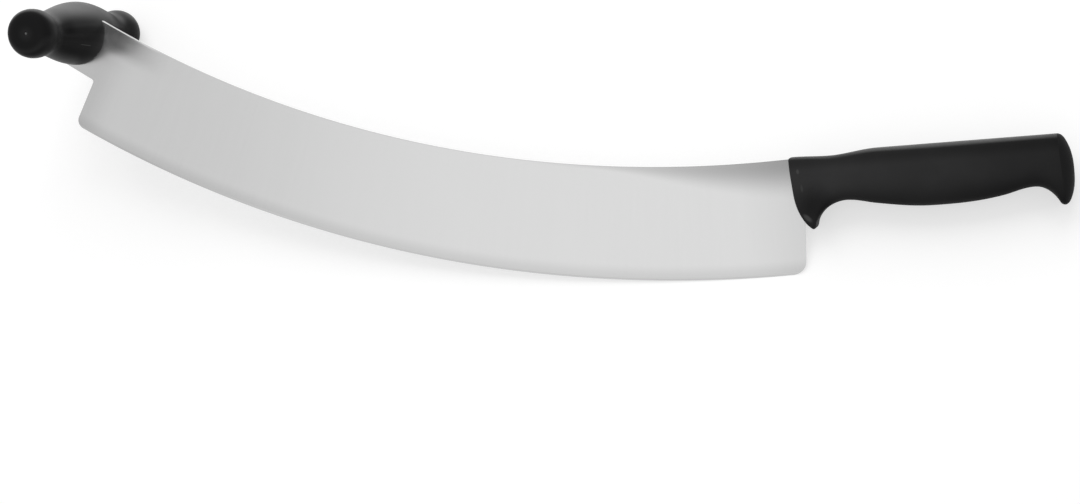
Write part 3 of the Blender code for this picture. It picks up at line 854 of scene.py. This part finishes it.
class Plastic(Surface):
    """Black plastic with the grain of an etched mould, and glossier where its upper side is seen at a low angle."""

    def __init__(self, name, knife, colour, roughness, glossy_facing, grain):
        super().__init__(name)
        pits = self.noise(self.place, PIT_CELLS, roughness=PLASTIC_NOISE_ROUGHNESS)
        waves = self.noise(self.place, WAVE_CELLS)
        wear = self.noise(self.place, WEAR_CELLS, WEAR_DETAIL, PLASTIC_NOISE_ROUGHNESS)
        worn_tints = [(*(share * channel for channel in colour), 1.0) for share in WEAR_TINTS]
        self.tint = self.mix(self.ramp(wear, 0.35, 0.75, 0.0, 1.0), *worn_tints)
        self.rough = self.total(
            self.ramp(wear, 0.3, 0.7, roughness + WEAR_ROUGHNESS, roughness - WEAR_ROUGHNESS),
            self.product(pits, PIT_ROUGHNESS),
        )
        # From -1, where the surface faces the edge's side of the knife, to 1, where it faces the spine's side
        knife_up = knife.to_3x3() @ Vector((0, 1, 0))
        self.upward = self.vector_math("DOT_PRODUCT", self.coordinates["Normal"], knife_up)
        facing = self.node("ShaderNodeLayerWeight").outputs["Facing"]
        self.glossy_top = self.zone((self.upward, 0.24, 0.72, 0.0, 1.0), (facing, *glossy_facing, 0.0, 1.0))
        self.all_over = self.ramp(self.upward, -0.75, 0.0, 0.3, 1.0)
        self.bump(self.total(self.product(pits, PIT_SHARE), self.product(waves, 1 - PIT_SHARE)), grain)

    def put_sheen(self, sheen, sheen_share, top_sheen, top_share):
        """Let the plastic reflect a share of a sheen all over, and of a stronger one on its glossy top."""
        name = "Specular IOR Level"
        self.put(name, sheen)
        self.put(name, self.total(
            self.product(self.all_over, sheen_share, sheen),
            self.product(self.glossy_top, top_share, top_sheen),
        ))


def grip_plastic(knife):
    """The main handle's grained plastic, with painted shade that darkens it from its front towards its butt, along
    its back, low down and in the finger hollow, painted highlights on the guard and painted shade on the dome.
    """
    plastic = Plastic("grained_black_plastic", knife, GRIP_COLOUR, GRIP_ROUGHNESS, GRIP_GLOSSY_FACING, GRIP_GRAIN)
    x, y = plastic.knife_coordinates(knife)[:2]
    high, _, _, out = dome_crease()
    beyond_crease = plastic.vector_math("DOT_PRODUCT", plastic.offset(x, y, high), out)
    off_dome = plastic.ramp(beyond_crease, -FINISH_BLUR, FINISH_BLUR, 1.0, 0.0)
    below_back = plastic.product(y, -1.0)
    # Painted shade: the grip's colour darkens from its front towards its butt, along its back, low down and in the
    # finger hollow
    pale = plastic.zone(
        (x, 0.012, 0.030, 1.0, 0.90),
        (x, 0.030, 0.150, 1.0, 0.60),
        (below_back, 0.0025, 0.0095, 0.50, 1.0),
        (below_back, 0.013, 0.028, 1.0, 0.75),
        (plastic.distance(x, y, (HOLLOW_SETBACK, -HOLLOW_DEPTH)), 0.002, 0.015, 0.50, 1.0),
    )
    # Painted highlights: pale spots on the guard stand in for glints off its edges
    guard_glints = []
    for mark_x, mark_y, half_length, half_width, heading, tone in GUARD_GLINTS:
        run = heading_vector(heading)
        offset = plastic.offset(x, y, (mark_x, mark_y))
        from_mark = plastic.vector_math("LENGTH", plastic.combine(
            plastic.vector_math("DOT_PRODUCT", offset, run / half_length),
            plastic.vector_math("DOT_PRODUCT", offset, Vector((-run.y, run.x, 0)) / half_width),
        ))
        guard_glints.append((plastic.ramp(from_mark, 0.4, 1.3, 0.9, 0.0), tone))
    tint = plastic.layered(plastic.mix(pale, grey(0.0), plastic.tint), guard_glints)
    # Painted shade on the dome: its own darker colour
    plastic.put("Base Color", plastic.mix(off_dome, (*DOME_SHADE_COLOUR, 1.0), tint))
    plastic.put("Roughness", plastic.rough)
    plastic.put_sheen(
        GRIP_SHEEN,
        plastic.ramp(off_dome, 0.0, 1.0, 0.4, 1.0),
        GRIP_TOP_SHEEN,
        plastic.product(plastic.zone((x, 0.030, 0.044, 0.25, 1.0), (x, 0.115, 0.136, 1.0, 0.50)), off_dome),
    )
    return plastic.material


def cross_gloss(plastic, z, from_middle, far_top):
    """Share of the gloss that each place of the cross handle's upper side has."""
    far_side = plastic.zone(
        (plastic.upward, 0.60, 0.95, 1.0, 0.0),
        (z, -0.040, -0.034, 1.8, 0.0),
    )
    return plastic.product(
        plastic.zone(
            (z, -0.006, 0.024, 0.06, 1.0),
            (z, 0.014, 0.036, 1.0, 0.30),
            (from_middle, 0.040, 0.046, 1.0, 0.75),
        ),
        plastic.swing(far_side, far_top),
    )


def cross_sheen(plastic, z, from_middle):
    """Share of the sheen all over that each place of the cross handle has."""
    upward = plastic.upward
    off_knobs = (from_middle, 0.030, 0.041, 1.0, 0.0)
    dull_side = plastic.zone(
        (upward, -0.25, -0.02, 0.0, 0.50),
        (upward, 0.06, 0.24, 1.0, 0.0),
        off_knobs,
    )
    pale_side = plastic.zone(
        (upward, -0.80, -0.55, 0.0, 0.8),
        (upward, -0.50, -0.22, 1.0, 0.0),
        off_knobs,
    )
    near_waist = plastic.zone(
        (upward, -0.25, 0.0, 0.0, 1.0),
        (z, 0.024, 0.032, 0.0, 0.45),
        (z, 0.036, 0.042, 1.0, 0.0),
    )
    near_knob_side = plastic.zone(
        (z, 0.049, 0.053, 0.0, 1.0),
        (upward, -0.45, -0.05, 2.0, 0.0),
    )
    return plastic.product(
        plastic.zone(
            (from_middle, 0.020, 0.040, 1.0, 0.65),
            (z, -0.012, 0.002, 0.35, 1.0),
            (z, -0.045, -0.036, 3.0, 1.0),
        ),
        plastic.swing(pale_side, dull_side),
        plastic.swing(near_knob_side, near_waist),
    )


def cross_plastic(knife):
    """The cross handle's smoother plastic, with dull and glossy zones, a painted highlight on its parting line,
    painted sheen round the gates, and pale where the gates tore off.
    """
    plastic = Plastic("satin_black_plastic", knife, CROSS_COLOUR, CROSS_ROUGHNESS, CROSS_GLOSSY_FACING, CROSS_GRAIN)
    x, y, z = plastic.knife_coordinates(knife)
    axis = cross_axis()
    from_axis = plastic.distance(x, y, axis)
    from_middle = plastic.math("ABSOLUTE", z)

    far_top = plastic.zone(
        (plastic.upward, 0.15, 0.50, 0.0, 1.0),
        (z, -0.035, -0.028, 0.0, 1.0),
        (z, -0.028, -0.006, 0.8, 0.0),
    )
    behind_knob = plastic.zone((z, 0.032, 0.043, 0.0, 0.5), (z, 0.046, 0.050, 1.0, 0.0))
    lit = plastic.rest_of(behind_knob)
    plastic.put_sheen(
        CROSS_SHEEN,
        plastic.product(cross_sheen(plastic, z, from_middle), lit),
        CROSS_TOP_SHEEN,
        plastic.product(cross_gloss(plastic, z, from_middle, far_top), lit),
    )

    turn = plastic.math("ARCTAN2", plastic.math("SUBTRACT", y, axis.y), plastic.math("SUBTRACT", x, axis.x))
    off_parting = plastic.math("ABSOLUTE", plastic.math("SUBTRACT", turn, math.radians(CROSS_PARTING_TURN)))
    # Painted highlight: a pale dash on the parting line stands in for a glint
    from_parting_glint = plastic.math("ABSOLUTE", plastic.math("SUBTRACT", z, PARTING_GLINT_HEIGHT))
    parting_glint = plastic.product(
        plastic.math("LESS_THAN", off_parting, 2 * PARTING_WIDTH / BARREL_DIAMETER),
        plastic.ramp(from_parting_glint, 0.003, 0.005, 1.0, 0.0),
    )
    # Painted sheen: a pale halo round each gate
    gate_sheen = plastic.product(
        plastic.ramp(from_axis, 0.001, 0.0055, 0.35, 0.0),
        plastic.math("GREATER_THAN", from_middle, CROSS_LENGTH / 2 - KNOB_CROWN_TO_END),
    )
    torn = plastic.product(
        plastic.ramp(from_axis, 0.0004, 0.0009, 1.0, 0.0),
        plastic.math("GREATER_THAN", from_middle, CROSS_LENGTH / 2 - TORN_LAYER),
    )
    spots = ((gate_sheen, GATE_SHEEN_TONE), (parting_glint, PARTING_GLINT_TONE), (torn, TORN_TONE))
    plastic.put("Base Color", plastic.layered(plastic.tint, spots))
    plastic.put("Roughness", plastic.total(
        plastic.rough,
        plastic.product(torn, TORN_ROUGHNESS),
        plastic.product(far_top, FAR_TOP_ROUGHNESS),
    ))
    return plastic.material


def dress(thing, material):
    """Give an object one material, and no other."""
    thing.data.materials.clear()
    thing.data.materials.append(material)


def seen_or_mirrored(nodes):
    """1 for rays from the camera, reflections and clear materials, and 0 for the light on the object."""
    rays = nodes.node("ShaderNodeLightPath").outputs
    camera_or_gloss = nodes.math("MAXIMUM", rays["Is Camera Ray"], rays["Is Glossy Ray"])
    return nodes.math("MAXIMUM", camera_or_gloss, rays["Is Transmission Ray"])


def make_floor():
    """A pale floor that keeps the shadow and shows white where nothing shades it."""
    corners = [(FLOOR_REACH * x, FLOOR_REACH * y, 0) for x, y in ((-1, -1), (1, -1), (1, 1), (-1, 1))]
    mesh = bpy.data.meshes.new("floor")
    mesh.from_pydata(corners, [], [(0, 1, 2, 3)])
    floor = add_object("floor", mesh)
    paper = Surface("pale_floor")
    fibres = paper.noise(paper.place, PAPER_CELLS)
    tones = grey(FLOOR_TONE - FLOOR_TONE_SPREAD), grey(FLOOR_TONE + FLOOR_TONE_SPREAD)
    paper.put("Base Color", paper.mix(fibres, *tones))
    paper.put("Roughness", FLOOR_ROUGHNESS)
    paper.put("Specular IOR Level", 0.0)
    lift = paper.node("ShaderNodeEmission")
    paper.set(lift.inputs["Strength"], paper.product(seen_or_mirrored(paper), FLOOR_LIFT))
    both = paper.fed("ShaderNodeAddShader", (paper.shader.outputs[0], lift.outputs[0]))[0]
    output = next(node for node in paper.tree.nodes if node.type == "OUTPUT_MATERIAL")
    paper.set(output.inputs["Surface"], both)
    dress(floor, paper.material)


def make_world():
    """A plain world that is white where it is seen, and gives less light than that."""
    world = bpy.data.worlds.new("studio")
    world.use_nodes = True
    nodes = Nodes(world.node_tree)
    background = world.node_tree.nodes["Background"]
    background.inputs["Color"].default_value = grey(1.0)
    strength = nodes.node("ShaderNodeMapRange")
    strength.inputs["To Min"].default_value = WORLD_LIGHT
    strength.inputs["To Max"].default_value = 1.0
    nodes.set(strength.inputs["Value"], seen_or_mirrored(nodes))
    nodes.set(background.inputs["Strength"], strength.outputs[0])
    bpy.context.scene.world = world


def add_softbox(name, place, target, width, height, share, in_gloss):
    """A lamp that gives a surface facing it at the target a share of the full light."""
    lamp = bpy.data.lights.new(name, "AREA")
    lamp.shape = "RECTANGLE"
    lamp.size = width
    lamp.size_y = height
    aim = Vector(target) - Vector(place)
    lamp.energy = share * math.pi ** 2 * aim.length_squared
    holder = add_object(name, lamp)
    holder.location = place
    holder.rotation_euler = aim.to_track_quat("-Z", "Y").to_euler()
    holder.visible_camera = False
    holder.visible_glossy = in_gloss


def make_camera(knife):
    """The photograph's camera, as its fit to the knife's outline places it."""
    camera = bpy.data.cameras.new("photo_camera")
    camera.lens = CAMERA_LENS
    camera.sensor_width = CAMERA_SENSOR
    camera.clip_start, camera.clip_end = CAMERA_CLIP
    view = knife @ Matrix.Translation(CAMERA_PLACE)
    for turn, axis in CAMERA_TURNS:
        view = view @ Matrix.Rotation(math.radians(turn), 4, axis)
    holder = add_object("photo_camera", camera)
    holder.matrix_world = view
    bpy.context.scene.camera = holder


def main():
    """Load the frame, dress the blade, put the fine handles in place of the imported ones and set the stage."""
    for thing in list(bpy.data.objects):
        bpy.data.objects.remove(thing)
    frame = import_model()
    knife = knife_frame(frame["record"])

    blade = frame["nodes"]["blade"]
    dress(blade, blade_steel(knife))
    cutter = steel_cutter(blade)

    grip = add_object("main_grip", grip_mesh())
    grip.matrix_world = knife
    mirror = grip.modifiers.new("other side", "MIRROR")
    mirror.use_axis = (False, False, True)
    mirror.merge_threshold = MERGE_DISTANCE
    seat_on_steel(grip, cutter)
    dress(grip, grip_plastic(knife))
    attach(grip, "root")
    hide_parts("main_handle")

    cross = add_object("cross_grip", turned_mesh("cross_grip", cross_profile()))
    cross.matrix_world = knife @ Matrix.Translation(cross_axis())
    seat_on_steel(cross, cutter)
    dress(cross, cross_plastic(knife))
    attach(cross, "root")
    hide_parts("cross_handle")
    bpy.data.objects.remove(cutter)

    make_floor()
    make_world()
    for softbox in SOFTBOXES:
        add_softbox(*softbox)
    make_camera(knife)
    bpy.context.scene.view_settings.view_transform = "Standard"


main()
